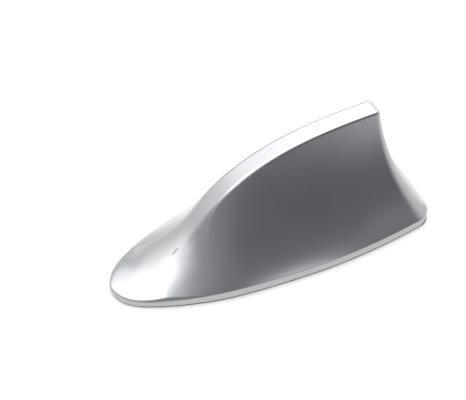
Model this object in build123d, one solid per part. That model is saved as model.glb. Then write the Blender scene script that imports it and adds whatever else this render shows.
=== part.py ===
from build123d import *
import math
import os

import numpy as np

# ---------------------------------------------------------------------------
# Shark fin roof aerial, flat-bottomed kind that is taped to the roof.
# All lengths in millimetres. While the pieces are drawn, x runs from the tip of
# the nose (0) to the tail (LENGTH), y is sideways and z is up from the roof.
# At the end everything moves by -LENGTH/2, so the origin is at the middle of the
# underside.
# ---------------------------------------------------------------------------

LENGTH = 155.0            # nose tip to tail
RIM_TOP = 5.4             # top edge of the upright rim
RIM_BOTTOM = 0.8          # the rim stands this far above the roof, on the foam
LAND = 0.15               # step between the flank and the rim
WALL = 2.0                # cover wall, square to the flank
RIM_WALL = 2.2            # cover wall at the rim
TAIL_CORNER_R = 7.0       # plan radius of the two tail corners
TAIL_BOW = 1.2            # how far the tail edge bows out in plan

# half width of the outline, squared, against x
OUTLINE_X = [0, 4, 12, 25, 45, 70, 95, 120, 140, 155]
OUTLINE_W2 = [0, 84.1, 219.3, 412.2, 673.1, 859.1, 957.7, 931.7, 822.7, 710.6]
# height of the crest along the nose and the spine
CREST_X = [0, 7, 13.5, 21.2, 28.9, 37, 45, 52.1, 58.1, 64.1, 70, 81.8, 93.7, 105.6, 117.7, 132.4, 160]
CREST_Z = [6.7, 8.0, 10.2, 14.0, 19.0, 25.5, 34.0, 41.3, 46.5, 50.6, 53.8, 58.4, 61.2, 62.8, 63.6, 63.8, 63.8]
# trailing face, x against z
TAIL_Z = [5.4, 8.3, 11.5, 15.4, 19, 23.3, 28, 34, 43.4, 50, 55, 60, 64.1, 70]
TAIL_X = [155, 152, 149.6, 147.4, 145.4, 143.3, 141.4, 139.5, 137.1, 135.75, 134.95, 134.3, 133.9, 133.7]
# half width of the flat spine; it narrows and runs out on the nose
SPINE_X = [0, 4, 10, 16, 22, 28, 34, 40, 48, 60, 160]
SPINE_HALF = [0.3, 0.9, 1.4, 1.95, 2.3, 2.85, 3.7, 4.35, 4.7, 4.7, 4.7]
# section of the flank: share of straight line, power of its curve, bulge, and hollow above the rim
MIX_X = [0, 15, 30, 45, 63, 80, 110, 135, 165]
MIX = [1.0, 1.0, 1.0, 0.96, 0.72, 0.60, 0.405, 0.225, 0.22]
BEND_X = [0, 30, 60, 90, 120, 165]
BEND = [2.3, 2.3, 2.3, 2.28, 2.5, 2.5]
ARCH_X = [0, 8, 14, 20, 27, 35, 45, 58, 75, 165]
ARCH = [0.0, 0.02, 0.12, 0.30, 0.30, 0.15, 0.01, 0.0, 0.0, 0.0]
FLARE_X = [0, 30, 45, 60, 75, 90, 105, 120, 165]
FLARE = [0, 0, -0.45, 0.75, 1.55, 1.43, 0.5, -0.4, 0]

BASE_GAP = 0.3            # between base plate and cover rim
BASE_BOTTOM = 1.2
BASE_TOP = 4.0
SEAL_WIDTH = 1.8
SEAL_HEIGHT = 1.2
FOAM_OUT = 0.4            # outer edge of the foam ring, under the rim, measured in from the outline
FOAM_STEP = 2.6           # from here in the foam reaches up to the base plate
FOAM_IN = 9.5             # inner edge of the foam ring

BOSS_R = 2.9
COVER_SCREW_AT = [(30.0, 9.5), (30.0, -9.5), (137.0, 17.0), (137.0, -17.0)]
COVER_PILOT_R = 1.2
COVER_SCREW_R = 1.15
COVER_SCREW_TOP = 10.0
COVER_HEAD_R = 2.5
COVER_HEAD_H = 1.3

BOARD_X = (74.0, 124.0)
BOARD_HALF_Y = 12.0
BOARD_BOTTOM = 7.0
BOARD_T = 1.0
BOARD_SCREW_AT = [(80.0, 9.0), (121.0, 9.0), (121.0, -9.0)]
POST_R = 2.5

COIL_X = 118.0
COIL_R = 4.0              # to the middle of the wire
COIL_WIRE_R = 0.4
COIL_PITCH = 2.4
FORMER_R = 3.55
FOOT_BOTTOM = 9.6
FOOT_TOP = 13.0
BAR_BOTTOM = 50.0         # top bar of the element frame
BAR_TOP = 53.4
PLATE_T = 0.4
FRAME_HALF_Y = 2.4

GROMMET_AT = (48.0, 0.0)
GROMMET_BORE_R = 1.7
GROMMET_NECK_R = 3.2
GROMMET_FLANGE_R = 4.6

os.makedirs("parts", exist_ok=True)


# ---------------------------------------------------------------------------
# curves of the form
# ---------------------------------------------------------------------------
def natural_spline(xs, ys):
    xs = np.asarray(xs, float)
    ys = np.asarray(ys, float)
    n = len(xs)
    h = np.diff(xs)
    a = np.zeros((n, n))
    b = np.zeros(n)
    a[0, 0] = a[-1, -1] = 1.0
    for i in range(1, n - 1):
        a[i, i - 1] = h[i - 1]
        a[i, i] = 2 * (h[i - 1] + h[i])
        a[i, i + 1] = h[i]
        b[i] = 6 * ((ys[i + 1] - ys[i]) / h[i] - (ys[i] - ys[i - 1]) / h[i - 1])
    m = np.linalg.solve(a, b)

    def value(x):
        x = min(max(float(x), xs[0]), xs[-1])
        i = int(min(max(np.searchsorted(xs, x) - 1, 0), n - 2))
        p = (xs[i + 1] - x)
        q = (x - xs[i])
        return float(m[i] * p ** 3 / (6 * h[i]) + m[i + 1] * q ** 3 / (6 * h[i])
                     + (ys[i] / h[i] - m[i] * h[i] / 6) * p
                     + (ys[i + 1] / h[i] - m[i + 1] * h[i] / 6) * q)

    return value


_w2 = natural_spline(OUTLINE_X, OUTLINE_W2)
crest = natural_spline(CREST_X, CREST_Z)
tail = natural_spline(TAIL_Z, TAIL_X)


def half_width(x):
    return math.sqrt(max(_w2(min(x, LENGTH)), 1e-6))


_spine = natural_spline(SPINE_X, SPINE_HALF)
_mix = natural_spline(MIX_X, MIX)
_bend = natural_spline(BEND_X, BEND)
_arch = natural_spline(ARCH_X, ARCH)
_flare = natural_spline(FLARE_X, FLARE)


def spine_half(x):
    return min(max(_spine(x), 0.02), 0.5 * half_width(x))


def flank(x, t):
    # half width of the body at a share t of its height above the rim
    w = half_width(x)
    s = spine_half(x)
    k = 1 - t
    c = min(max(_mix(x), 0.2), 1.0)
    over = t * (crest(x) - RIM_TOP)
    hollow_in = _flare(x) * (1 - math.exp(-over / 4.0)) * k
    f = s + (w - s) * (c * k + (1 - c) * k ** _bend(x)) - hollow_in
    a = min(max(_arch(x), 0.0), 1.0)
    arch = w * w * (1 - t * t) + s * s * t * t
    return math.sqrt(max(f * f * (1 - a) + arch * a, 1e-6))


# outline of the rim, half of it, from the nose round to the middle of the tail
def half_outline():
    # the corner's circle touches the side and the bowed tail edge
    w_end = half_width(LENGTH)
    slope = (half_width(LENGTH) - half_width(LENGTH - 3)) / 3
    t1 = np.array([1.0, slope]) / math.hypot(1.0, slope)
    inward = np.array([t1[1], -t1[0]])
    bow_r = w_end * w_end / (2 * TAIL_BOW)
    bow_centre = np.array([LENGTH - bow_r, 0.0])
    lo, hi = -25.0, 0.0
    for _ in range(60):
        u = (lo + hi) / 2
        c = np.array([LENGTH, w_end]) + t1 * u + inward * TAIL_CORNER_R
        if np.linalg.norm(c - bow_centre) > bow_r - TAIL_CORNER_R:
            hi = u
        else:
            lo = u
    start = np.array([LENGTH, w_end]) + t1 * u
    d = (c - bow_centre) / np.linalg.norm(c - bow_centre)
    return start, d, c, t1


CORNER_START, CORNER_OUT, CORNER_CENTRE, CORNER_T = half_outline()


def side_points(inset, count=22):
    # points along the side, moved in by the inset, square to the outline
    pts = []
    x_end = CORNER_START[0]
    for i in range(count + 1):
        x = x_end * (i / count) ** 1.8
        w = half_width(x) if i else 0.0
        if i == 0:
            pts.append((float(inset), 0.0))
            continue
        dw2 = (_w2(x + 0.05) - _w2(max(x - 0.05, 0))) / (0.05 + min(x, 0.05))
        dw = dw2 / (2 * w)
        n = math.hypot(1.0, dw)
        pts.append((x + inset * dw / n, w - inset / n))
    # the last point lies on the corner's start
    cx, cy = CORNER_CENTRE
    r = TAIL_CORNER_R - inset
    ux, uy = (CORNER_START - CORNER_CENTRE) / TAIL_CORNER_R
    pts[-1] = (cx + ux * r, cy + uy * r) if r > 0.6 else pts[-1]
    return pts


def outline_face(inset, z):
    pts = side_points(inset)
    if TAIL_CORNER_R - inset > 0.6:
        r = TAIL_CORNER_R - inset
        cx, cy = CORNER_CENTRE
        ux, uy = (CORNER_START - CORNER_CENTRE) / TAIL_CORNER_R
        a0 = math.atan2(uy, ux)
        a1 = math.atan2(CORNER_OUT[1], CORNER_OUT[0])
        am = (a0 + a1) / 2
        mid = (cx + r * math.cos(am), cy + r * math.sin(am))
        end = (cx + r * math.cos(a1), cy + r * math.sin(a1))
    else:
        # the corner has run out: the side meets the tail in a small round
        r = 0.8
        xe = LENGTH - inset
        k = [p for p in pts if p[0] < xe - 2.5]
        last = k[-1]
        slope = CORNER_T[1] / CORNER_T[0]
        pts = k
        y_c = last[1] + slope * (xe - last[0])
        pts = k + [(xe - 1.0, y_c - slope * 1.0)] if xe - 1.0 - last[0] > 1.0 else k
        s0 = pts[-1]
        end = (xe, y_c - 1.0)
        mid = (xe - 0.29, y_c - 0.29)
    # one curve round the nose, then the two corners and the tail edge
    loop = [(p[0], p[1], z) for p in reversed(pts)] + [(p[0], -p[1], z) for p in pts[1:]]
    sides = Spline(*loop)
    corners = [ThreePointArc((pts[-1][0], sgn * pts[-1][1], z), (mid[0], sgn * mid[1], z),
                             (end[0], sgn * end[1], z)) for sgn in (1, -1)]
    if LENGTH - inset - end[0] > 0.01:
        transom = ThreePointArc((end[0], end[1], z), (LENGTH - inset, 0, z), (end[0], -end[1], z))
    else:
        transom = Line((end[0], end[1], z), (end[0], -end[1], z))
    edges = [sides.edge(), corners[0].edge(), transom.edge(), corners[1].edge()]
    return Face(Wire(edges))


def outline_solid(inset, z0, z1):
    return extrude(outline_face(inset, z0), amount=z1 - z0, dir=(0, 0, 1))


# one cross section of the body, square to x
def body_section(x, inset):
    s0 = spine_half(x)
    zs0 = crest(x)
    ts = [0.0, 0.1, 0.22, 0.36, 0.52, 0.7, 0.86, 1.0]
    if inset == 0:
        s, zs = s0, zs0
        pts = [(flank(x, t) - LAND * (1 - t), RIM_TOP + t * (zs - RIM_TOP)) for t in ts]
        w = pts[0][0]
        zb, zr = RIM_TOP - 1.5, RIM_TOP
    else:
        slope = (crest(x + 0.5) - crest(x - 0.5)) / 1.0
        zs = zs0 - inset * math.hypot(1.0, slope)
        zr = RIM_TOP - 1.0
        zb = RIM_TOP - 3.0
        pts = []
        for t in ts:
            z = zr + t * (zs - zr)
            tt = min(max((z - RIM_TOP) / (zs0 - RIM_TOP), 0.0), 1.0)
            dz = 0.01
            t2 = min(tt + dz, 1.0)
            t1 = max(t2 - 2 * dz, 0.0)
            dy = (flank(x, t2) - flank(x, t1)) / ((t2 - t1) * (zs0 - RIM_TOP))
            y = flank(x, tt) - inset * math.hypot(1.0, dy) - 0.1
            y = min(y, half_width(x) - RIM_WALL - 0.1)
            pts.append((max(y, 1.2), z))
        w, s = pts[0][0], pts[-1][0]
    right = Spline(*[(x, y, z) for y, z in pts])
    left = Spline(*[(x, -y, z) for y, z in pts])
    edges = [
        Line((x, -w, zb), (x, w, zb)).edge(),
        Line((x, w, zb), (x, w, zr)).edge(),
        right.edge(),
        Line((x, s, zs), (x, -s, zs)).edge(),
        left.edge(),
        Line((x, -w, zr), (x, -w, zb)).edge(),
    ]
    return Face(Wire(edges))


# everything in front of the trailing face, seen from the side
def ahead_of_tail(inset):
    pts = []
    for z in TAIL_Z:
        dx = (tail(z + 0.2) - tail(max(z - 0.2, TAIL_Z[0]))) / (z + 0.2 - max(z - 0.2, TAIL_Z[0]))
        n = math.hypot(1.0, dx)
        pts.append((tail(z) - inset / n, z + inset * dx / n))
    curve = Spline(*[(x, -45, z) for x, z in pts])
    x0, z0 = pts[0]
    x1, z1 = pts[-1]
    edges = [
        curve.edge(),
        Line((x1, -45, z1), (-10, -45, z1)).edge(),
        Line((-10, -45, z1), (-10, -45, -20)).edge(),
        Line((-10, -45, -20), (x0, -45, -20)).edge(),
        Line((x0, -45, -20), (x0, -45, z0)).edge(),
    ]
    return extrude(Face(Wire(edges)), amount=90, dir=(0, 1, 0))


def cyl(x, y, z0, z1, r):
    return Pos(x, y, (z0 + z1) / 2) * Cylinder(r, z1 - z0)


def block(x0, x1, y0, y1, z0, z1):
    return Pos((x0 + x1) / 2, (y0 + y1) / 2, (z0 + z1) / 2) * Box(x1 - x0, y1 - y0, z1 - z0)


def screw(x, y, head_bottom, head_r, head_h, shank_r, tip, up):
    # pan head screw; up is 1 for a head on top, -1 for a head below
    if up > 0:
        head = cyl(x, y, head_bottom, head_bottom + head_h, head_r)
        head = fillet(head.edges().group_by(Axis.Z)[-1], head_h * 0.45)
        shank = cyl(x, y, tip, head_bottom, shank_r)
        point = chamfer(shank.edges().group_by(Axis.Z)[0], shank_r * 0.4)
        slot_z = head_bottom + head_h
        body = head + point
        for ang in (0, 90):
            body -= Pos(x, y, slot_z) * Rot(0, 0, ang) * Box(head_r * 1.15, head_r * 0.24, head_h * 0.9)
    else:
        head = cyl(x, y, head_bottom - head_h, head_bottom, head_r)
        head = fillet(head.edges().group_by(Axis.Z)[0], head_h * 0.45)
        shank = cyl(x, y, head_bottom, tip, shank_r)
        point = chamfer(shank.edges().group_by(Axis.Z)[-1], shank_r * 0.4)
        slot_z = head_bottom - head_h
        body = head + point
        for ang in (0, 90):
            body -= Pos(x, y, slot_z) * Rot(0, 0, ang) * Box(head_r * 1.15, head_r * 0.24, head_h * 0.9)
    return body


def solids_of(shape):
    return list(shape.solids())


# ---------------------------------------------------------------------------
# cover: one thin-walled moulding with four screw bosses
# ---------------------------------------------------------------------------
OUT_X = [1.4, 4, 7.5, 12, 17, 22.5, 28.5, 35, 42, 50, 59, 70, 83, 98, 114, 131, 147, 162]
IN_X = [11, 15, 20, 26, 32, 38, 45, 53, 62, 73, 86, 100, 116, 132, 147, 160]

body = loft([body_section(x, 0) for x in OUT_X])
body = body & ahead_of_tail(0) & outline_solid(LAND, 2.0, 80.0)
rim = outline_solid(0, RIM_BOTTOM, RIM_TOP)
outer = body + rim

hollow = loft([body_section(x, WALL) for x in IN_X])
hollow = hollow & ahead_of_tail(WALL + 0.3) & outline_solid(RIM_WALL + 0.1, -5.0, 80.0)
pocket = outline_solid(RIM_WALL, -1.0, RIM_TOP - 1.0)
cover = outer - hollow - pocket

for x, y in COVER_SCREW_AT:
    boss = cyl(x, y, BASE_TOP, 40.0, BOSS_R) & outer
    cover = cover + boss
for x, y in COVER_SCREW_AT:
    cover = cover - cyl(x, y, BASE_TOP - 1, COVER_SCREW_TOP + 0.8, COVER_PILOT_R)

# ---------------------------------------------------------------------------
# base plate with board posts, seal step, lead hole and screw counterbores
# ---------------------------------------------------------------------------
base_inset = RIM_WALL + BASE_GAP
base = outline_solid(base_inset, BASE_BOTTOM, BASE_TOP)
step_ring = outline_solid(base_inset - 1.0, BASE_TOP - SEAL_HEIGHT, BASE_TOP + 1) - outline_solid(
    base_inset + SEAL_WIDTH - 0.2, BASE_TOP - SEAL_HEIGHT - 1, BASE_TOP + 2)
base = base - step_ring
for x, y in BOARD_SCREW_AT:
    base = base + cyl(x, y, BASE_TOP - 0.5, BOARD_BOTTOM, POST_R)
for x, y in BOARD_SCREW_AT:
    base = base - cyl(x, y, 2.4, BOARD_BOTTOM + 1, 0.85)
for x, y in COVER_SCREW_AT:
    base = base - cyl(x, y, 0, BASE_TOP + 1, 1.4)
    base = base - cyl(x, y, 0, BASE_BOTTOM + COVER_HEAD_H + 0.1, COVER_HEAD_R + 0.2)
base = base - cyl(GROMMET_AT[0], GROMMET_AT[1], 0, 10, GROMMET_NECK_R)
FRAME_SCREW_AT = [(64.0, 0.0), (132.0, 0.0)]
for x, y in FRAME_SCREW_AT:
    base = base - cyl(x, y, 1.9, BASE_TOP + 1, 0.85)
# locating pegs for the frame's feet
for x, y in [(64.0, 3.6), (64.0, -3.6)]:
    base = base + cyl(x, y, BASE_TOP - 0.5, BASE_TOP + 2.0, 0.9)

# seal ring in the base's step
seal = outline_solid(RIM_WALL + 0.05, BASE_TOP - SEAL_HEIGHT, BASE_TOP) - outline_solid(
    base_inset + SEAL_WIDTH - 0.2, BASE_TOP - SEAL_HEIGHT - 1, BASE_TOP + 1)

# foam tape ring that the aerial stands on
foam = outline_solid(FOAM_OUT, 0.0, RIM_BOTTOM) + outline_solid(FOAM_STEP, 0.0, BASE_BOTTOM)
foam = foam - outline_solid(FOAM_IN, -1.0, BASE_BOTTOM + 1)

# ---------------------------------------------------------------------------
# fasteners
# ---------------------------------------------------------------------------
cover_screws = [screw(x, y, BASE_BOTTOM + COVER_HEAD_H + 0.1, COVER_HEAD_R, COVER_HEAD_H, COVER_SCREW_R,
                      COVER_SCREW_TOP, -1) for x, y in COVER_SCREW_AT]
board_top = BOARD_BOTTOM + BOARD_T
board_screws = [screw(x, y, board_top, 1.75, 1.2, 0.8, 2.9, 1) for x, y in BOARD_SCREW_AT]
FOOT_T = 2.5
frame_screws = [screw(x, y, BASE_TOP + FOOT_T, 1.75, 1.2, 0.8, 2.2, 1) for x, y in FRAME_SCREW_AT]

# ---------------------------------------------------------------------------
# circuit board and what is soldered on it
# ---------------------------------------------------------------------------
board = block(BOARD_X[0], BOARD_X[1], -BOARD_HALF_Y, BOARD_HALF_Y, BOARD_BOTTOM, board_top)
board = fillet(board.edges().filter_by(Axis.Z), 1.5)
for x, y in BOARD_SCREW_AT:
    board = board - cyl(x, y, 0, 20, 1.1)

can_out = block(86, 104, -9, 9, board_top, board_top + 4.0)
can_out = fillet(can_out.edges().filter_by(Axis.Z), 0.8)
can_in = block(86.3, 103.7, -8.7, 8.7, board_top - 1, board_top + 3.7)
can = can_out - can_in
for i in range(3):
    for j in range(3):
        can = can - cyl(90 + 5 * i, -5 + 5 * j, board_top + 3, board_top + 5, 0.6)

chip = block(93, 97, -2, 2, board_top + 0.05, board_top + 0.95)
for k in range(5):
    off = -1.4 + 0.7 * k
    chip = chip + block(92.5, 93.2, off - 0.15, off + 0.15, board_top, board_top + 0.3)
    chip = chip + block(96.8, 97.5, off - 0.15, off + 0.15, board_top, board_top + 0.3)


def two_ended(x, y, lx, ly, h, end):
    # small block component with a raised pad at each end
    b = block(x - lx / 2 + end / 2, x + lx / 2 - end / 2, y - ly / 2 + 0.05, y + ly / 2 - 0.05, board_top, board_top + h - 0.05)
    b = b + block(x - lx / 2, x - lx / 2 + end, y - ly / 2, y + ly / 2, board_top, board_top + h)
    b = b + block(x + lx / 2 - end, x + lx / 2, y - ly / 2, y + ly / 2, board_top, board_top + h)
    return b


inductors = [two_ended(x, y, 3.2, 2.5, 2.0, 0.6) for x, y in [(109, 6), (109, -6)]]
capacitors = [two_ended(x, y, 1.6, 0.8, 0.8, 0.35)
              for x, y in [(89, 5), (89, -5), (100.5, 5), (100.5, -5), (83, 1), (112.5, 8)]]
resistors = [two_ended(x, y, 1.6, 0.8, 0.5, 0.35)
             for x, y in [(89, 1), (89, -1), (100.5, 1), (112.5, -8), (83, -1)]]

# lead socket on the board's front edge, open towards the nose
socket = block(74.5, 82, -11, -5, board_top, board_top + 5.2)
socket = fillet(socket.edges().filter_by(Axis.X).group_by(Axis.Z)[-1], 0.8)
bore = Pos(77, -8, board_top + 2.7) * Rot(0, 90, 0) * Cylinder(1.9, 7)
pin = Pos(78.6, -8, board_top + 2.7) * Rot(0, 90, 0) * Cylinder(0.5, 4.6)
socket = socket - bore + pin

# bronze feed spring: a pad on the board and a tongue that bends up to the coil's foot
spring_path = [(COIL_X - 3.4, board_top), (COIL_X + 2.2, board_top), (COIL_X + 3.0, board_top + 0.8),
               (COIL_X + 2.2, FOOT_BOTTOM), (COIL_X - 2.4, FOOT_BOTTOM)]
t_sp = 0.25
sp = block(COIL_X - 3.4, COIL_X + 2.6, -1.2, 1.2, board_top, board_top + t_sp)
sp = sp + block(COIL_X - 2.4, COIL_X + 2.6, -1.2, 1.2, FOOT_BOTTOM - t_sp, FOOT_BOTTOM)
bend_r = (FOOT_BOTTOM - board_top) / 2
bend = Pos(COIL_X + 2.6, 0, board_top + bend_r) * Rot(90, 0, 0) * (
    Cylinder(bend_r, 2.4) - Cylinder(bend_r - t_sp, 2.6))
bend = bend & block(COIL_X + 2.6, COIL_X + 6, -2, 2, board_top - 1, FOOT_BOTTOM + 1)
feed_spring = sp + bend

# ---------------------------------------------------------------------------
# radiating element: former, coil, foot, frame and top plate
# ---------------------------------------------------------------------------
former = cyl(COIL_X, 0, FOOT_BOTTOM + 0.6, BAR_BOTTOM, FORMER_R) + cyl(COIL_X, 0, BAR_BOTTOM - 0.5, BAR_TOP - 0.6, 1.5)
former = former - cyl(COIL_X, 0, FOOT_BOTTOM, BAR_BOTTOM - 4, 2.0)

foot = cyl(COIL_X, 0, FOOT_BOTTOM, FOOT_TOP, FORMER_R + 0.45) - cyl(COIL_X, 0, FOOT_BOTTOM + 0.6, FOOT_TOP + 1, FORMER_R)

coil_z0 = FOOT_TOP + COIL_WIRE_R + 0.15
coil_h = BAR_BOTTOM - 0.6 - COIL_WIRE_R - coil_z0
turns = math.floor(coil_h / COIL_PITCH)
helix = Helix(pitch=COIL_PITCH, height=turns * COIL_PITCH, radius=COIL_R)
start = helix @ 0
profile = Plane(origin=start, z_dir=helix % 0) * Circle(COIL_WIRE_R)
coil = sweep(profile, path=helix, is_frenet=True)
coil = Pos(COIL_X, 0, coil_z0) * coil

# moulded frame: a front leg that leans with the spine, a top bar and a rear leg
frame_profile = [(59, BASE_TOP), (71.5, BASE_TOP), (71.5, BASE_TOP + FOOT_T + 1.5), (91.5, BAR_BOTTOM),
                 (124.6, BAR_BOTTOM), (124.6, BASE_TOP), (136, BASE_TOP), (136, BASE_TOP + FOOT_T),
                 (128.6, BASE_TOP + FOOT_T), (128.6, BAR_TOP), (86.0, BAR_TOP),
                 (67.0, BASE_TOP + FOOT_T + 1.5), (67.0, BASE_TOP + FOOT_T), (59, BASE_TOP + FOOT_T)]
face = Face(Wire.make_polygon([Vector(x, -FRAME_HALF_Y, z) for x, z in frame_profile], close=True))
frame = extrude(face, amount=2 * FRAME_HALF_Y, dir=(0, 1, 0))
frame = frame + block(59, 69, -5.5, 5.5, BASE_TOP, BASE_TOP + FOOT_T)
frame = frame + block(129, 136, -5.0, 5.0, BASE_TOP, BASE_TOP + FOOT_T)
for x, y in FRAME_SCREW_AT:
    frame = frame - cyl(x, y, 0, 20, 1.05)
for x, y in [(64.0, 3.6), (64.0, -3.6)]:
    frame = frame - cyl(x, y, 0, BASE_TOP + 2.3, 1.0)
frame = frame - cyl(COIL_X, 0, BAR_BOTTOM - 1, BAR_TOP - 0.6, 1.55)
# ribs under the top bar
for x in (99.0, 106.0, 113.0):
    frame = frame - block(x - 2.2, x + 2.2, -FRAME_HALF_Y - 1, -0.6, BAR_BOTTOM + 0.8, BAR_TOP - 0.8)
    frame = frame - block(x - 2.2, x + 2.2, 0.6, FRAME_HALF_Y + 1, BAR_BOTTOM + 0.8, BAR_TOP - 0.8)

# folded top plate, a saddle over the top bar
PLATE_X = (87.0, 128.0)
PLATE_HALF_Y = FRAME_HALF_Y + 0.05 + PLATE_T
PLATE_LEG = 9.0
plate = block(PLATE_X[0], PLATE_X[1], -PLATE_HALF_Y, PLATE_HALF_Y, BAR_TOP - PLATE_LEG, BAR_TOP + PLATE_T)
plate = fillet(plate.edges().filter_by(Axis.X).group_by(Axis.Z)[-1], 0.5)
plate = plate - block(PLATE_X[0] - 1, PLATE_X[1] + 1, -PLATE_HALF_Y + PLATE_T, PLATE_HALF_Y - PLATE_T,
                      BAR_TOP - PLATE_LEG - 1, BAR_TOP)
# notch that clears the front leg and a window that clears the coil
for sgn in (1, -1):
    y0, y1 = (PLATE_HALF_Y - PLATE_T - 0.5, PLATE_HALF_Y + 0.5) if sgn > 0 else (-PLATE_HALF_Y - 0.5, -PLATE_HALF_Y + PLATE_T + 0.5)
    plate = plate - block(COIL_X - 5.6, COIL_X + 5.6, y0, y1, BAR_TOP - PLATE_LEG - 1, BAR_BOTTOM)

# rubber grommet that the lead leaves through
gx, gy = GROMMET_AT
grommet = cyl(gx, gy, 0.3, BASE_BOTTOM, GROMMET_FLANGE_R) + cyl(gx, gy, 0.3, BASE_TOP + 1.2, GROMMET_NECK_R) + cyl(
    gx, gy, BASE_TOP, BASE_TOP + 1.2, GROMMET_FLANGE_R)
grommet = grommet - cyl(gx, gy, -1, 10, GROMMET_BORE_R)

NODES = {
    "cover": cover,
    "base_plate": base,
    "rim_seal": seal,
    "adhesive_ring": foam,
    "cover_screws": cover_screws,
    "amplifier_board": board,
    "board_screws": board_screws,
    "shield_can": can,
    "amplifier_chip": chip,
    "chip_inductors": inductors,
    "chip_capacitors": capacitors,
    "chip_resistors": resistors,
    "lead_socket": socket,
    "lead_grommet": grommet,
    "feed_spring": feed_spring,
    "loading_coil": coil,
    "coil_former": former,
    "coil_foot": foot,
    "top_plate": plate,
    "element_frame": frame,
    "frame_screws": frame_screws,
}

for name, shape in NODES.items():
    many = shape if isinstance(shape, list) else [shape]
    solids = []
    for s in many:
        solids += solids_of(Pos(-LENGTH / 2, 0, 0) * s)
    out = solids[0] if len(solids) == 1 else Compound(children=solids)
    export_step(out, f"parts/{name}.step")
    bb = out.bounding_box()
    print(f"{name:16s} solids {len(solids)} volume {sum(s.volume for s in solids):9.1f} "
          f"x {bb.min.X:.2f}..{bb.max.X:.2f} y {bb.min.Y:.2f}..{bb.max.Y:.2f} z {bb.min.Z:.2f}..{bb.max.Z:.2f}")
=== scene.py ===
import math

import bpy
import numpy as np
from mathutils import Matrix, Vector


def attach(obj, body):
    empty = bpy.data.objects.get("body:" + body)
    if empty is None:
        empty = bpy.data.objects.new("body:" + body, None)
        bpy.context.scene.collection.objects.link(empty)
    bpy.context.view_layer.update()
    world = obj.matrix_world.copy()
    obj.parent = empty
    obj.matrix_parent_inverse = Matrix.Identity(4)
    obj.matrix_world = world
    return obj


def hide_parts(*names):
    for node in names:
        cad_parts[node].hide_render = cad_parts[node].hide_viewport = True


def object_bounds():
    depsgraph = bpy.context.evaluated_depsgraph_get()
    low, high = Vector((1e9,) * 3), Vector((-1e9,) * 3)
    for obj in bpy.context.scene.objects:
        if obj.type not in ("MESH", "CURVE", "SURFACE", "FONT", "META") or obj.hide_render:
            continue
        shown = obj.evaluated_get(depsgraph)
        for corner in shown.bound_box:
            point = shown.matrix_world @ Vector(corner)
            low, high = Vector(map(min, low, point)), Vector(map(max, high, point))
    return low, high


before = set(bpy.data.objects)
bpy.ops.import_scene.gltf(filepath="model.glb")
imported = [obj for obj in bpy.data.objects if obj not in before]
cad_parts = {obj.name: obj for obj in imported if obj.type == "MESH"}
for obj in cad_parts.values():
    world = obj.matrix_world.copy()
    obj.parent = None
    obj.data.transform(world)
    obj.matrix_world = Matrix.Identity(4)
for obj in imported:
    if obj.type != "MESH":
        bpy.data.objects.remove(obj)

cad_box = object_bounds()

# ---------------------------------------------------------------------------
# form of the cover, in millimetres, x from the tip of the nose (nearly the same curves
# as the CAD cover, with its edges rounded)
# ---------------------------------------------------------------------------
LENGTH = 155.0
RIM_TOP = 5.4
RIM_BOTTOM = 0.8
SPINE_HALF = 4.7
SPINE_REAR_X = 133.9
TAIL_CORNER_R = 7.0
TAIL_BOW = 1.2

OUTLINE_X = [0, 4, 12, 25, 45, 70, 95, 120, 140, 155]
OUTLINE_W2 = [0, 87.5, 222.0, 412.6, 673.1, 859.1, 957.7, 931.7, 822.7, 710.6]
CREST_X = [0, 7, 13.5, 21.2, 28.9, 37, 45, 52.1, 58.1, 64.1, 70, 81.8, 93.7, 105.6, 117.7, 132.4, 160]
CREST_Z = [5.0, 6.6, 9.6, 13.55, 18.62, 25.2, 33.78, 41.3, 46.5, 50.6, 53.8, 58.4, 61.2, 62.8, 63.6, 63.8, 63.8]
TAIL_Z = [5.4, 8.3, 11.5, 15.4, 19, 23.3, 28, 34, 43.4, 50, 55, 60, 64.1, 70]
TAIL_X = [155, 152, 149.6, 147.4, 145.5, 143.5, 141.7, 139.85, 137.4, 135.95, 135.05, 134.3, 133.9, 133.7]


class Curve:
    """natural cubic spline, carried on as a straight line past its ends"""

    def __init__(self, xs, ys):
        self.x = xs = np.asarray(xs, float)
        self.y = ys = np.asarray(ys, float)
        n = len(xs)
        self.h = h = np.diff(xs)
        a = np.zeros((n, n))
        b = np.zeros(n)
        a[0, 0] = a[-1, -1] = 1.0
        for i in range(1, n - 1):
            a[i, i - 1] = h[i - 1]
            a[i, i] = 2 * (h[i - 1] + h[i])
            a[i, i + 1] = h[i]
            b[i] = 6 * ((ys[i + 1] - ys[i]) / h[i] - (ys[i] - ys[i - 1]) / h[i - 1])
        self.m = np.linalg.solve(a, b)
        self.s0 = (ys[1] - ys[0]) / h[0] - h[0] / 6 * (2 * self.m[0] + self.m[1])
        self.s1 = (ys[-1] - ys[-2]) / h[-1] + h[-1] / 6 * (2 * self.m[-1] + self.m[-2])

    def __call__(self, x):
        x = np.asarray(x, float)
        c = np.clip(x, self.x[0], self.x[-1])
        i = np.clip(np.searchsorted(self.x, c) - 1, 0, len(self.x) - 2)
        h = self.h[i]
        p = self.x[i + 1] - c
        q = c - self.x[i]
        m0, m1 = self.m[i], self.m[i + 1]
        v = (m0 * p ** 3 + m1 * q ** 3) / (6 * h) + (self.y[i] / h - m0 * h / 6) * p + (self.y[i + 1] / h - m1 * h / 6) * q
        return v + np.where(x < self.x[0], (x - self.x[0]) * self.s0, 0) + np.where(x > self.x[-1], (x - self.x[-1]) * self.s1, 0)


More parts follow.
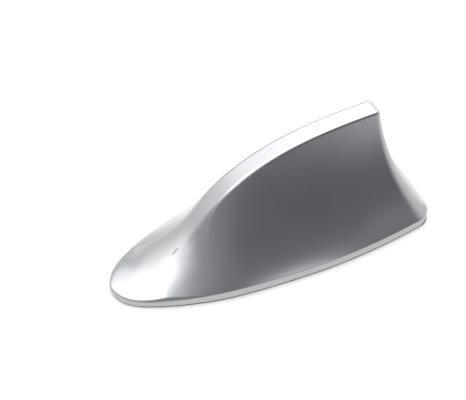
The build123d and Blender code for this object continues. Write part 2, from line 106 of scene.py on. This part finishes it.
width2 = Curve(OUTLINE_X, OUTLINE_W2)
crest = Curve(CREST_X, CREST_Z)
tail = Curve(TAIL_Z, TAIL_X)
spine_curve = Curve([0, 4, 10, 16, 22, 28, 34, 40, 46, 52, 60, 160], [0.3, 0.6, 0.5, 1.95, 2.1, 2.9, 3.3, 3.9, 5.05, 4.95, 4.7, 4.7])
mix_curve = Curve([-5, 15, 30, 45, 63, 80, 110, 135, 165], [1.0, 1.0, 1.0, 0.96, 0.72, 0.60, 0.405, 0.225, 0.22])
bend_curve = Curve([0, 30, 60, 90, 120, 160], [2.3, 2.3, 2.3, 2.28, 2.5, 2.5])
arch_curve = Curve([-2, 2, 8, 14, 20, 27, 35, 45, 58, 75, 160], [1.0, 1.0, 0.6, 0.10, 0.377, 0.325, 0.207, 0.041, 0.0, 0.0, 0.0])
# the rim is a little lower round the nose
rim_top = Curve([-5, 0, 4, 8, 14, 30, 50, 70, 165], [3.45, 3.45, 3.65, 4.3, 5.1, 5.4, 5.6, 5.65, 5.65])
FLARE = Curve([-5, 30, 45, 60, 75, 90, 105, 120, 165], [0, 0, -0.45, 0.75, 1.55, 1.43, 0.5, -0.4, 0])
# how far the spine's edges are softened, how round the rear edges and the rim's top edge are
EDGE = Curve([0, 4, 10, 16, 22, 28, 34, 40, 46, 52, 60, 80, 160], [0.3, 0.67, 1.86, 2.86, 2.15, 2.42, 2.71, 3.3, 2.5, 1.2, 1.2, 1.5, 1.5])
R_REAR = Curve([0, 5.4, 12, 23, 34, 40, 48, 58, 64, 80], [6.2, 6.1, 5.6, 4.8, 4.3, 3.9, 3.3, 2.8, 2.4, 2.4])
R_RIM = Curve([-5, 0, 8, 14, 20, 32, 42, 55, 70, 165], [0.75, 0.75, 0.95, 1.2, 1.2, 0.55, 0.2, 0.12, 0.10, 0.10])


def smooth(v, lo, hi):
    k = np.clip((v - lo) / (hi - lo), 0, 1)
    return k * k * (3 - 2 * k)


def half_width(x):
    return np.sqrt(np.maximum(width2(x), 1e-4))


def spine_half(x):
    """half the width of the spine's flat top"""
    return np.minimum(np.maximum(spine_curve(x), 0.02), 0.5 * half_width(x))


def flank2(x, z):
    """square of the half width at a height: a straight flank on the nose, a hollow one behind"""
    w = half_width(x)
    s = spine_half(x)
    low = rim_top(x)
    t = (z - low) / np.maximum(crest(x) - low, 0.4)
    k = 1 - t
    c = np.clip(mix_curve(x), 0.2, 1.0)
    over = np.maximum(z - low, 0.0)
    flare = FLARE(x) * (1 - np.exp(-over / 4.0)) * np.clip(k, 0, 1)
    bend = np.sign(k) * np.abs(k) ** bend_curve(x)
    f = s + (w - s) * (c * k + (1 - c) * bend) - flare
    straight = f * np.abs(f)
    a = np.clip(arch_curve(x), 0, 1)
    arch = w * w * (1 - t * np.abs(t)) + s * s * t * np.abs(t)
    return straight * (1 - a) + arch * a + np.minimum(width2(x), 0.0)


def flank(x, z):
    return np.sqrt(np.maximum(flank2(x, z), 0.0))


def slope(f, v, d=0.02):
    return (f(v + d) - f(v - d)) / (2 * d)


def round_max(a, b, r):
    ua = np.maximum(a + r, 0)
    ub = np.maximum(b + r, 0)
    return np.minimum(np.maximum(a, b), -r) + np.sqrt(ua * ua + ub * ub)


W_END = float(half_width(LENGTH))


def outline_distance(x, y):
    d = 0.02
    w2 = width2(x)
    wx = (width2(x + d) - width2(x - d)) / (2 * d)
    side = (y * y - w2) / np.sqrt(4 * y * y + wx * wx + 1e-9)
    return round_max(side, x - LENGTH + TAIL_BOW * (y / W_END) ** 2, TAIL_CORNER_R)


def cover_form(p, with_bottom=True):
    """about the distance to the cover's outer surface, less than nothing inside it"""
    x, y, z = p[:, 0], p[:, 1], p[:, 2]
    d = 0.02
    zs = np.maximum(z, rim_top(x))
    f2 = flank2(x, zs)
    fx = (flank2(x + d, zs) - flank2(x - d, zs)) / (2 * d)
    fz = (flank2(x, zs + d) - flank2(x, zs - d)) / (2 * d)
    side = (y * y - f2) / np.sqrt(4 * y * y + fx * fx + fz * fz + 1e-9) - 0.7 * (zs - z)
    cs = slope(crest, x)
    top = (z - crest(x)) / np.sqrt(1 + cs * cs)
    ts = slope(tail, z)
    rear = (x - tail(np.maximum(z, 3.0))) / np.sqrt(1 + ts * ts)
    soft = np.maximum(EDGE(x), 0.1)
    near = np.maximum(soft - np.abs(side - top), 0) / soft
    body = np.maximum(side, top) + near * near * soft * 0.25
    body = round_max(body, rear, R_REAR(z))
    body = round_max(body, outline_distance(x, y), R_RIM(x))
    if with_bottom:
        body = round_max(body, RIM_BOTTOM - z, 0.6)
    return body


def gradient(p, **k):
    g = np.zeros_like(p)
    d = 0.01
    for a in range(3):
        e = np.zeros(3)
        e[a] = d
        g[:, a] = (cover_form(p + e, **k) - cover_form(p - e, **k)) / (2 * d)
    return g


def settle(p, level=0.0, steps=9, **k):
    for _ in range(steps):
        h = cover_form(p, **k) - level
        g = gradient(p, **k)
        n2 = np.maximum((g * g).sum(1), 0.05)
        move = (h / n2)[:, None] * g
        size = np.linalg.norm(move, axis=1)
        move *= np.minimum(1.0, 1.5 / np.maximum(size, 1e-9))[:, None]
        p = p - move
    return p


def graded(length, first, grow, last):
    """steps from one end that grow from first to last, until the length is used up"""
    out = [0.0]
    s = first
    while out[-1] + s < length:
        out.append(out[-1] + s)
        s = min(s * grow, last)
    if length - out[-1] < 0.5 * s and len(out) > 1:
        out.pop()
    out.append(length)
    return np.array(out)


# columns along the crest: from the nose along the spine, then down the trailing face
nose = graded(70.0, 0.1, 1.14, 0.85)
rear_part = SPINE_REAR_X - graded(SPINE_REAR_X - 70.0, 0.16, 1.12, 0.85)[::-1]
spine_x = np.concatenate([nose, rear_part[1:]])
TRAIL = CREST_Z[-1] - RIM_TOP
drop = graded(TRAIL * 0.5, 0.16, 1.12, 0.8)
rise = graded(TRAIL * 0.5, 0.18, 1.10, 0.8)
trail_z = np.concatenate([CREST_Z[-1] - drop[1:], (RIM_TOP + rise)[::-1][1:]])

# the rim's outline: half of it as a fine line of points, for the trailing columns
w_end = float(half_width(LENGTH))
t_slope = float((half_width(LENGTH) - half_width(LENGTH - 3)) / 3)
t1 = np.array([1.0, t_slope]) / math.hypot(1.0, t_slope)
turn = math.acos(-t1[1])
reach = TAIL_CORNER_R * math.tan(turn / 2)
c_start = np.array([LENGTH, w_end]) - t1 * reach
c_mid = c_start + np.array([t1[1], -t1[0]]) * TAIL_CORNER_R
a0 = math.atan2(*(c_start - c_mid)[::-1])
RIM_SPLIT = 126.0
side_x = np.linspace(RIM_SPLIT, c_start[0], 120)
loop = [np.stack([side_x, half_width(side_x)], 1)]
arc = np.linspace(a0, 0, 40)[1:]
loop.append(np.stack([c_mid[0] + TAIL_CORNER_R * np.cos(arc), c_mid[1] + TAIL_CORNER_R * np.sin(arc)], 1))
loop = np.vstack(loop)
loop_s = np.concatenate([[0], np.cumsum(np.linalg.norm(np.diff(loop, axis=0), axis=1))])
rim_end = loop[-1]

columns = []
for x in spine_x:
    xb = x * RIM_SPLIT / SPINE_REAR_X
    columns.append((xb, float(half_width(xb)) if x > 0 else 0.0, x, float(crest(x)), float(spine_half(x)) if x > 0 else 0.0))
for k, z in enumerate(trail_z):
    f = (CREST_Z[-1] - z) / TRAIL
    s = loop_s[-1] * f ** 0.85
    xb = float(np.interp(s, loop_s, loop[:, 0]))
    yb = float(np.interp(s, loop_s, loop[:, 1]))
    xc = float(tail(z))
    yc = float(flank(np.array(xc), np.array(z)))
    yc = yc + (rim_end[1] - yc) * np.clip((20.0 - z) / (20.0 - RIM_TOP), 0, 1) ** 2
    columns.append((xb, yb, xc, z, yc))
columns = np.array(columns)
NC = len(columns)

# rows: up the rim, up the flank to the spine's edge, over the spine to its middle
rim_rows = np.array([0.8, 0.92, 1.07, 1.25, 1.6, 2.4, 3.2, 4.0, 4.45, 4.75, 4.95, 5.1, 5.22, 5.32])
half_v = graded(0.5, 0.0025, 1.22, 0.026)
flank_v = np.concatenate([half_v, (1 - half_v)[::-1][1:]])
band_v = graded(1.0, 0.03, 1.22, 0.16)[1:]

outer = []
for xb, yb, xc, zc, yc in columns:
    low = float(rim_top(xb))
    col = [np.array([xb, yb, RIM_BOTTOM + (z - RIM_BOTTOM) * (low - RIM_BOTTOM) / (RIM_TOP - RIM_BOTTOM)]) for z in rim_rows]
    x = xb + (xc - xb) * flank_v
    z = low + (zc - low) * flank_v
    y = flank(x, z)
    wb = float(half_width(xb)) if xb > 0 else 1.0
    y = y * np.where(flank_v < 1, (yb / wb if wb > 0.02 else 0.0) + (1 - (yb / wb if wb > 0.02 else 0.0)) * flank_v, 1)
    k = np.clip((flank_v - 0.6) / 0.4, 0, 1)
    y = y + (yc - y) * k * k * (1.0 if zc < 20 else 0.0)
    col += [np.array([a, b, c]) for a, b, c in zip(x, y, z)]
    col += [np.array([xc, yc * (1 - v), zc]) for v in band_v]
    outer.append(col)
outer = np.array(outer)                       # columns, rows, xyz
NR = outer.shape[1]
flat = settle(outer.reshape(-1, 3))
flat[:, 1] = np.maximum(flat[:, 1], 0)
outer = flat.reshape(NC, NR, 3)
outer[:, -1, 1] = 0.0                         # the middle line stays in the middle
outer[0, :, 1] = 0.0
outer[:, 0, 2] = RIM_BOTTOM

# the upright wall at the tail, from the corner to the middle, below the trailing face
first_band = len(rim_rows) + len(flank_v) - 1
tail_top = outer[-1, first_band:, :]
tail_wall = []
for j, z in enumerate(rim_rows):
    row = np.stack([np.full(len(tail_top), LENGTH), tail_top[:, 1], np.full(len(tail_top), z)], 1)
    row[0] = outer[-1, j]
    tail_wall.append(row)
tail_wall = np.array(tail_wall)               # rows, along y, xyz
wall_flat = settle(tail_wall[:, 1:].reshape(-1, 3))
tail_wall[:, 1:] = wall_flat.reshape(len(rim_rows), -1, 3)
tail_wall[:, -1, 1] = 0.0

# inner wall, a coarser copy a wall's thickness in, so the cover is a closed shell
pick = [0, 6] + [len(rim_rows) + int(np.argmin(np.abs(flank_v - v))) for v in (0.04, 0.16, 0.3, 0.45, 0.6, 0.74, 0.86)] + [NR - 1]


INNER_STEP = 1.35         # thin enough to stay clear of the seal and the top plate


def shrunk(p, top):
    """points moved in from the outer surface under a crest of the given height"""
    x = INNER_STEP + p[..., 0] * (LENGTH - 2 * INNER_STEP) / LENGTH
    y = np.maximum(p[..., 1] - INNER_STEP, 0.25 * p[..., 1])
    z = RIM_BOTTOM + (p[..., 2] - RIM_BOTTOM) * (1 - (INNER_STEP + 0.3) / (top - RIM_BOTTOM))
    return np.stack([x, y, z], -1)


inner = shrunk(outer[:, pick, :], outer[:, -1:, 2])
inner[:, 0, 2] = RIM_BOTTOM
inner[:, -1, 1] = 0.0
inner[0, :, 1] = 0.0
twall_in = shrunk(tail_wall[[0, 6]], outer[-1, -1, 2])
twall_in[0, :, 2] = RIM_BOTTOM
twall_in[:, 0] = inner[-1, :2]
twall_in[:, -1, 1] = 0.0

verts = []
faces = []


def grid(block, flip):
    """adds one block of points as quads; flip turns the faces round"""
    base = len(verts)
    a, b = block.shape[:2]
    verts.extend(block.reshape(-1, 3).tolist())
    for i in range(a - 1):
        for j in range(b - 1):
            q = [base + i * b + j, base + (i + 1) * b + j, base + (i + 1) * b + j + 1, base + i * b + j + 1]
            faces.append(q[::-1] if flip else q)


for side in (1, -1):
    m = np.array([1, side, 1])
    flip = side > 0
    grid(outer * m, flip)
    grid(tail_wall.transpose(1, 0, 2) * m, flip)
    grid(inner * m, not flip)
    grid(twall_in.transpose(1, 0, 2) * m, not flip)
    ring = np.stack([inner[:, 0], outer[:, 0]], 1)
    grid(ring * m, flip)
    ring = np.stack([twall_in[0], tail_wall[0]], 1)
    grid(ring * m, flip)

v = np.array(verts)
v[:, 0] -= LENGTH / 2
v /= 1000.0
# the facets of the CAD solids lie a hair inside its curves, and the cover stays inside their box
for a in range(3):
    v[:, a] = np.where(v[:, a] > 0, v[:, a] * min(1.0, cad_box[1][a] / v[:, a].max()), v[:, a] * (min(1.0, cad_box[0][a] / v[:, a].min()) if v[:, a].min() < 0 else 1.0))
me = bpy.data.meshes.new("fin_cover")
me.from_pydata(v.tolist(), [], faces)
me.update()

import bmesh

bm = bmesh.new()
bm.from_mesh(me)
bmesh.ops.remove_doubles(bm, verts=bm.verts, dist=4e-7)
loose = [x for x in bm.verts if not x.link_faces]
bmesh.ops.delete(bm, geom=loose, context="VERTS")
open_edges = [e for e in bm.edges if len(e.link_faces) == 1]
if open_edges:
    bmesh.ops.holes_fill(bm, edges=open_edges, sides=400)
bmesh.ops.recalc_face_normals(bm, faces=bm.faces)
for f in bm.faces:
    f.smooth = True
bm.to_mesh(me)
bm.free()

# normals from the form itself, so that reflections run smoothly over the edges
co = np.empty(len(me.vertices) * 3)
me.vertices.foreach_get("co", co)
co = co.reshape(-1, 3) * 1000.0
co[:, 0] += LENGTH / 2
h = cover_form(co)
g = gradient(co)
g /= np.maximum(np.linalg.norm(g, axis=1), 1e-9)[:, None]
own = np.empty(len(me.vertices) * 3)
me.vertices.foreach_get("normal", own)
own = own.reshape(-1, 3)
out_side = (np.abs(h) < 0.02) & ((g * own).sum(1) > 0.5)
nrm = np.where(out_side[:, None], g, own)
me.normals_split_custom_set_from_vertices(nrm.tolist())
cover = bpy.data.objects.new("fin_cover", me)
bpy.context.scene.collection.objects.link(cover)
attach(cover, "root")
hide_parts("cover")


# ---------------------------------------------------------------------------
# materials
# ---------------------------------------------------------------------------
def new_material(name):
    m = bpy.data.materials.new(name)
    m.use_nodes = True
    t = m.node_tree
    t.nodes.clear()
    out = t.nodes.new("ShaderNodeOutputMaterial")
    bsdf = t.nodes.new("ShaderNodeBsdfPrincipled")
    t.links.new(bsdf.outputs["BSDF"], out.inputs["Surface"])
    coord = t.nodes.new("ShaderNodeTexCoord")
    return m, t, bsdf, coord.outputs["Object"]


def noise(t, vec, scale, detail=2.0, rough=0.5):
    n = t.nodes.new("ShaderNodeTexNoise")
    n.inputs["Scale"].default_value = scale
    n.inputs["Detail"].default_value = detail
    n.inputs["Roughness"].default_value = rough
    t.links.new(vec, n.inputs["Vector"])
    return n.outputs["Fac"]


def ramp(t, fac, lo, hi, out_lo, out_hi):
    n = t.nodes.new("ShaderNodeMapRange")
    n.inputs["From Min"].default_value = lo
    n.inputs["From Max"].default_value = hi
    n.inputs["To Min"].default_value = out_lo
    n.inputs["To Max"].default_value = out_hi
    t.links.new(fac, n.inputs["Value"])
    return n.outputs["Result"]


def blend(t, fac, a, b):
    n = t.nodes.new("ShaderNodeMix")
    n.data_type = "RGBA"
    t.links.new(fac, n.inputs["Factor"])
    ins = [s for s in n.inputs if s.type == "RGBA"]
    for sock, val in zip(ins, (a, b)):
        if isinstance(val, (tuple, list)):
            sock.default_value = (*val, 1.0)
        else:
            t.links.new(val, sock)
    return [s for s in n.outputs if s.type == "RGBA"][0]


def bump(t, bsdf, height, strength, distance, chain=None):
    n = t.nodes.new("ShaderNodeBump")
    n.inputs["Strength"].default_value = strength
    n.inputs["Distance"].default_value = distance
    t.links.new(height, n.inputs["Height"])
    if chain is not None:
        t.links.new(chain, n.inputs["Normal"])
    t.links.new(n.outputs["Normal"], bsdf.inputs["Normal"])
    return n.outputs["Normal"]


def grainy(name, dark, light, rough_lo, rough_hi, metallic=0.0, scale=900.0, bump_strength=0.15, bump_mm=0.03, spec=0.5):
    """a material whose colour, gloss and surface vary in a fine grain"""
    m, t, b, vec = new_material(name)
    n1 = noise(t, vec, scale, 3.0, 0.6)
    n2 = noise(t, vec, scale * 0.07, 2.0, 0.5)
    t.links.new(blend(t, ramp(t, n2, 0.3, 0.7, 0.0, 1.0), dark, light), b.inputs["Base Color"])
    t.links.new(ramp(t, n1, 0.3, 0.7, rough_lo, rough_hi), b.inputs["Roughness"])
    b.inputs["Metallic"].default_value = metallic
    b.inputs["Specular IOR Level"].default_value = spec
    bump(t, b, n1, bump_strength, bump_mm / 1000.0)
    return m


def line_distance(t, vec, a, b):
    """distance to a short straight line between two points"""
    def step(op, first, second=None):
        n = t.nodes.new("ShaderNodeVectorMath")
        n.operation = op
        for i, val in enumerate((first, second)):
            if val is None:
                continue
            if isinstance(val, Vector):
                n.inputs[i].default_value = val
            else:
                t.links.new(val, n.inputs[i])
        return n
    along = Vector(b) - Vector(a)
    size = along.length
    along = along / size
    off = step("SUBTRACT", vec, Vector(a)).outputs["Vector"]
    on = ramp(t, step("DOT_PRODUCT", off, along).outputs["Value"], 0.0, size, 0.0, size)
    foot = step("SCALE", along)
    t.links.new(on, foot.inputs["Scale"])
    rest = step("SUBTRACT", off, foot.outputs["Vector"]).outputs["Vector"]
    return step("LENGTH", rest).outputs["Value"]


def silver_paint():
    m, t, b, vec = new_material("silver_paint")
    flake = noise(t, vec, 5200.0, 2.0, 0.7)
    cloud = noise(t, vec, 60.0, 2.0, 0.5)
    peel = noise(t, vec, 900.0, 1.0, 0.4)
    col = blend(t, ramp(t, flake, 0.35, 0.65, 0.0, 1.0), (0.595, 0.598, 0.612), (0.640, 0.642, 0.656))
    # one small scratch on the nose
    scratch = line_distance(t, vec, (-0.04530, -0.00419, 0.02006), (-0.04770, -0.00470, 0.01820))
    col = blend(t, ramp(t, scratch, 0.00020, 0.00065, 0.0, 1.0), (0.350, 0.350, 0.360), col)
    t.links.new(col, b.inputs["Base Color"])
    r = ramp(t, cloud, 0.3, 0.7, 0.300, 0.325)
    t.links.new(r, b.inputs["Roughness"])
    b.inputs["Metallic"].default_value = 1.0
    first = bump(t, b, peel, 0.03, 0.00002)
    bump(t, b, flake, 0.03, 0.00001, first)
    return m


cover.data.materials.append(silver_paint())

looks = {
    "base_plate": grainy("black_plastic", (0.018, 0.018, 0.019), (0.028, 0.028, 0.030), 0.50, 0.66, 0.0, 2600.0, 0.35, 0.03),
    "rim_seal": grainy("seal_rubber", (0.012, 0.012, 0.012), (0.022, 0.022, 0.022), 0.72, 0.88, 0.0, 1500.0, 0.2, 0.03),
    "lead_grommet": grainy("grommet_rubber", (0.012, 0.012, 0.012), (0.024, 0.024, 0.024), 0.66, 0.82, 0.0, 1700.0, 0.2, 0.03),
    "adhesive_ring": grainy("foam_tape", (0.030, 0.030, 0.032), (0.060, 0.060, 0.064), 0.86, 0.98, 0.0, 2200.0, 0.6, 0.08),
    "cover_screws": grainy("zinc_steel_1", (0.60, 0.60, 0.58), (0.72, 0.72, 0.70), 0.24, 0.38, 1.0, 1900.0, 0.1, 0.01),
    "board_screws": grainy("zinc_steel_2", (0.60, 0.60, 0.58), (0.72, 0.72, 0.70), 0.24, 0.38, 1.0, 1900.0, 0.1, 0.01),
    "frame_screws": grainy("zinc_steel_3", (0.60, 0.60, 0.58), (0.72, 0.72, 0.70), 0.24, 0.38, 1.0, 1900.0, 0.1, 0.01),
    "amplifier_board": grainy("board_laminate", (0.012, 0.110, 0.045), (0.020, 0.150, 0.065), 0.26, 0.40, 0.0, 1200.0, 0.12, 0.02),
    "shield_can": grainy("tinned_steel_1", (0.62, 0.62, 0.61), (0.74, 0.74, 0.73), 0.28, 0.42, 1.0, 900.0, 0.1, 0.01),
    "top_plate": grainy("tinned_steel_2", (0.62, 0.62, 0.61), (0.74, 0.74, 0.73), 0.28, 0.42, 1.0, 900.0, 0.1, 0.01),
    "amplifier_chip": grainy("chip_epoxy", (0.016, 0.016, 0.017), (0.026, 0.026, 0.028), 0.48, 0.62, 0.0, 4200.0, 0.2, 0.01),
    "chip_inductors": grainy("ferrite", (0.070, 0.065, 0.064), (0.110, 0.100, 0.098), 0.50, 0.66, 0.0, 3000.0, 0.2, 0.01),
    "chip_capacitors": grainy("tan_ceramic", (0.34, 0.23, 0.13), (0.45, 0.32, 0.19), 0.36, 0.50, 0.0, 3000.0, 0.1, 0.01),
    "chip_resistors": grainy("dark_ceramic", (0.030, 0.030, 0.034), (0.050, 0.050, 0.056), 0.30, 0.44, 0.0, 3000.0, 0.1, 0.01),
    "lead_socket": grainy("plated_brass_1", (0.70, 0.52, 0.20), (0.82, 0.64, 0.30), 0.20, 0.32, 1.0, 1500.0, 0.08, 0.01),
    "coil_foot": grainy("plated_brass_2", (0.70, 0.52, 0.20), (0.82, 0.64, 0.30), 0.20, 0.32, 1.0, 1500.0, 0.08, 0.01),
    "feed_spring": grainy("bronze", (0.56, 0.34, 0.16), (0.70, 0.46, 0.24), 0.26, 0.40, 1.0, 1500.0, 0.08, 0.01),
    "loading_coil": grainy("copper_wire", (0.62, 0.28, 0.13), (0.78, 0.38, 0.20), 0.20, 0.34, 1.0, 2000.0, 0.06, 0.01),
    "coil_former": grainy("white_plastic", (0.72, 0.71, 0.66), (0.80, 0.79, 0.75), 0.42, 0.56, 0.0, 2200.0, 0.15, 0.02),
    "element_frame": grainy("grey_plastic", (0.060, 0.060, 0.064), (0.085, 0.085, 0.090), 0.44, 0.58, 0.0, 2200.0, 0.25, 0.02),
}
for node, material in looks.items():
    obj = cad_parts[node]
    for s in obj.material_slots:
        s.material = material
    if not obj.material_slots:
        obj.data.materials.append(material)

# ---------------------------------------------------------------------------
# pale floor
# ---------------------------------------------------------------------------
fm, ft, fb, fvec = new_material("pale_floor")
ft.links.new(blend(ft, noise(ft, fvec, 3.0, 2.0), (0.780, 0.780, 0.780), (0.800, 0.800, 0.800)), fb.inputs["Base Color"])
fb.inputs["Roughness"].default_value = 0.9
fb.inputs["Specular IOR Level"].default_value = 0.1
floor_mesh = bpy.data.meshes.new("floor")
e = 4.0
low = -0.00002      # just clear of the foam's underside
floor_mesh.from_pydata([(-e, -e, low), (e, -e, low), (e, e, low), (-e, e, low)], [], [(0, 1, 2, 3)])
floor = bpy.data.objects.new("floor", floor_mesh)
floor_mesh.materials.append(fm)
bpy.context.scene.collection.objects.link(floor)
floor.visible_glossy = False      # gloss shows the studio's own soft surround

# ---------------------------------------------------------------------------
# soft studio light: white from above, pale round the sides, dim on the open front side
# ---------------------------------------------------------------------------
world = bpy.data.worlds.new("studio")
bpy.context.scene.world = world
world.use_nodes = True
wt = world.node_tree
wt.nodes.clear()
w_out = wt.nodes.new("ShaderNodeOutputWorld")
w_bg = wt.nodes.new("ShaderNodeBackground")
wt.links.new(w_bg.outputs[0], w_out.inputs["Surface"])
w_tc = wt.nodes.new("ShaderNodeTexCoord")
w_sep = wt.nodes.new("ShaderNodeSeparateXYZ")
w_norm = wt.nodes.new("ShaderNodeVectorMath")
w_norm.operation = "NORMALIZE"
wt.links.new(w_tc.outputs["Generated"], w_norm.inputs[0])
wt.links.new(w_norm.outputs["Vector"], w_sep.inputs[0])


def w_math(op, a, b=None):
    n = wt.nodes.new("ShaderNodeMath")
    n.operation = op
    for i, val in enumerate((a, b)):
        if val is None:
            continue
        if isinstance(val, (int, float)):
            n.inputs[i].default_value = val
        else:
            wt.links.new(val, n.inputs[i])
    return n.outputs[0]


def w_smooth(val, lo, hi, a, b):
    n = wt.nodes.new("ShaderNodeMapRange")
    n.interpolation_type = "SMOOTHSTEP"
    n.inputs["From Min"].default_value = lo
    n.inputs["From Max"].default_value = hi
    n.inputs["To Min"].default_value = a
    n.inputs["To Max"].default_value = b
    wt.links.new(val, n.inputs["Value"])
    return n.outputs["Result"]


sx, sy, sz = w_sep.outputs[0], w_sep.outputs[1], w_sep.outputs[2]


def height(deg):
    return math.sin(math.radians(deg))


def angle(deg):
    return math.cos(math.radians(deg))


def facing(az_deg, el_deg):
    """how far a direction points to one place of the surround, by its azimuth and height"""
    d = Vector((angle(el_deg) * angle(az_deg), angle(el_deg) * height(az_deg), height(el_deg)))
    return w_math("ADD", w_math("ADD", w_math("MULTIPLY", sx, d.x), w_math("MULTIPLY", sy, d.y)), w_math("MULTIPLY", sz, d.z))


# pale walls and floor, a broad white light above
walls = w_math("ADD", w_smooth(sz, height(22.8), height(47.7), 0.753, 1.804), w_smooth(sz, height(-35), height(0), 0.12, 0.0))
above = w_smooth(sz, height(58), height(82), 0.0, 1.4)


def place(az_deg, el_deg, inner_deg, outer_deg, share):
    """a soft dimmer or brighter place in the surround"""
    return w_smooth(facing(az_deg, el_deg), angle(outer_deg), angle(inner_deg), 1.0, share)


# the open front of the studio is dim; past the nose and past the tail a dark screen or a white one stands
kept = place(-93.7, 9.4, 34.4, 51.5, 0.347)
for one in (
    (-60.2, -2.3, 14.5, 47.0, 0.392),
    (83.0, -9.1, 15.6, 26.2, 0.529),
    (-166.4, 18.7, 19.6, 33.9, 0.423),
    (155.7, 24.4, 4.0, 17.0, 1.45),
    (88.6, -15.9, 8.7, 32.8, 2.00),
    (37.5, -4.0, 12.0, 25.0, 1.70),
    (-168.0, 42.0, 13.5, 26.0, 1.66),
    (101.0, 37.0, 11.2, 27.0, 0.76),
    (-88.5, 6.0, 6.8, 13.5, 1.34),
):
    kept = w_math("MULTIPLY", kept, place(*one))
level = w_math("ADD", w_math("MULTIPLY", walls, kept), above)
w_path = wt.nodes.new("ShaderNodeLightPath")
seen = w_math("MULTIPLY", w_path.outputs["Is Camera Ray"], w_math("SUBTRACT", 1.0, level))
wt.links.new(w_math("ADD", level, seen), w_bg.inputs["Strength"])
w_tint = wt.nodes.new("ShaderNodeMix")
w_tint.data_type = "RGBA"
wt.links.new(w_math("SUBTRACT", 1.0, kept), w_tint.inputs[0])
tint_in = [k for k in w_tint.inputs if k.type == "RGBA"]
tint_in[0].default_value = (1.0, 1.0, 1.0, 1.0)
tint_in[1].default_value = (0.96, 0.98, 1.09, 1.0)
wt.links.new([k for k in w_tint.outputs if k.type == "RGBA"][0], w_bg.inputs["Color"])

sc = bpy.context.scene
sc.view_settings.view_transform = "Standard"
sc.view_settings.look = "None"
sc.view_settings.exposure = 0.0
sc.view_settings.gamma = 1.0

# ---------------------------------------------------------------------------
# camera, at the photograph's angle
# ---------------------------------------------------------------------------
AZ, EL, DIST, FOCAL = 25.833, 50.01, 0.54945, 1182.74
az, el = math.radians(-AZ), math.radians(EL)
back = Vector((math.sin(az) * math.cos(el), -math.cos(az) * math.cos(el), math.sin(el)))
right = Vector((math.cos(az), math.sin(az), 0.0))
up = back.cross(right)
eye = Vector((0, 0, 0.020)) + back * DIST
# the fitted middle is at 263.3, 209.1 of 466 x 400: turn the camera so that no shift is needed
aim = (-back + right * ((233.0 - 263.30) / FOCAL) - up * ((200.0 - 209.13) / FOCAL)).normalized()
b2 = -aim
r2 = (right - b2 * right.dot(b2)).normalized()
u2 = b2.cross(r2)
cam_data = bpy.data.cameras.new("camera")
cam_data.sensor_width = 36.0
cam_data.sensor_fit = "HORIZONTAL"
cam_data.lens = FOCAL / 466.0 * 36.0
cam_data.clip_start = 0.01
cam_data.clip_end = 50.0
cam = bpy.data.objects.new("camera", cam_data)
cam.matrix_world = Matrix(((r2.x, u2.x, b2.x, eye.x), (r2.y, u2.y, b2.y, eye.y), (r2.z, u2.z, b2.z, eye.z), (0, 0, 0, 1)))
sc.collection.objects.link(cam)
sc.camera = cam

bpy.context.view_layer.update()
